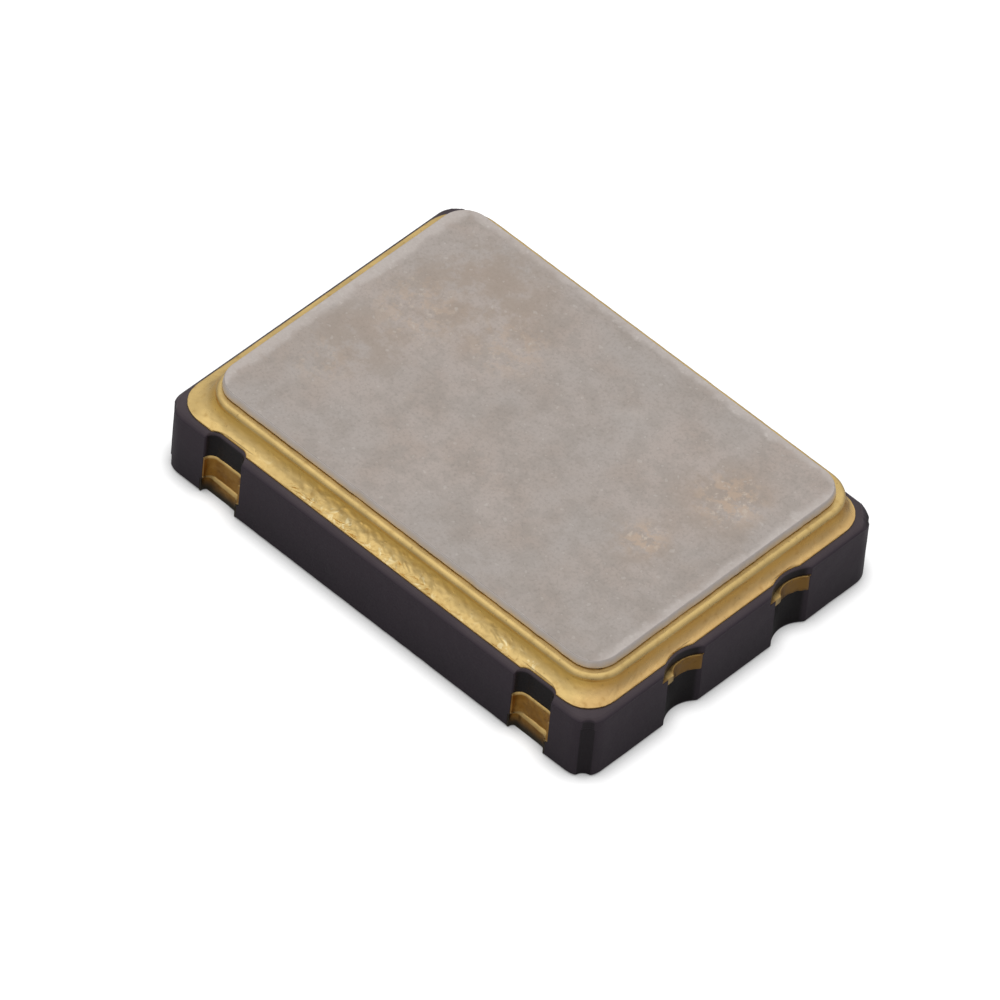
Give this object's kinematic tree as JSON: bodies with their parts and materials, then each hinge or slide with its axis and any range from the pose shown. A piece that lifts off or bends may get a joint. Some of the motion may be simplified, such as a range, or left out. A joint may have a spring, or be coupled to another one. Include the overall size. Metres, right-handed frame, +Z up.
{
  "type": "crystal oscillator",
  "caption": "Surface-mount clock oscillator: dark ceramic package with gold solder terminals in its sides and a seam-sealed metal lid over a circuit die and a quartz blank.",
  "frame": {"origin": "centre of the package's outline, on the plane that the solder pads stand on", "axes": "+X along the long side, +Z up through the lid, +Y across"},
  "size_m": [0.007, 0.005, 0.0014],
  "materials": {
    "dark_ceramic": "fired dark alumina, matt",
    "gold_print": "thin gold over printed metal, satin",
    "gold_braze": "gold over braze, satin with wrinkles",
    "gold_ring": "gold over a nickel-iron ring, satin",
    "nickel_lid": "nickel over a nickel-iron lid, matt and lightly stained",
    "silver_glue": "silver-filled epoxy, matt",
    "silicon": "polished silicon",
    "aluminium_pads": "bright film",
    "gold_wire": "drawn gold wire",
    "quartz": "lapped and etched quartz",
    "silver_film": "evaporated silver film"
  },
  "bodies": {
    "root": {"ceramic_body": "dark_ceramic", "seal_band": "gold_print", "braze_fillet": "gold_braze", "seam_ring": "gold_ring", "lid": "nickel_lid", "terminal_1": "gold_print", "terminal_2": "gold_print", "terminal_3": "gold_print", "terminal_4": "gold_print", "side_contact_1": "gold_print", "side_contact_2": "gold_print", "crystal_contact_1": "gold_print", "crystal_contact_2": "gold_print", "die_pad": "gold_print", "die_attach": "silver_glue", "oscillator_die": "silicon", "die_bond_pads": "aluminium_pads", "bond_wire_1": "gold_wire", "bond_wire_2": "gold_wire", "bond_wire_3": "gold_wire", "bond_wire_4": "gold_wire", "bond_wire_5": "gold_wire", "bond_wire_6": "gold_wire", "bond_wire_7": "gold_wire", "bond_wire_8": "gold_wire", "rest_bar": "dark_ceramic", "quartz_blank": "quartz", "electrode_top": "silver_film", "electrode_bottom": "silver_film", "glue_bead_1": "silver_glue", "glue_bead_2": "silver_glue"}
  },
  "joints": []
}
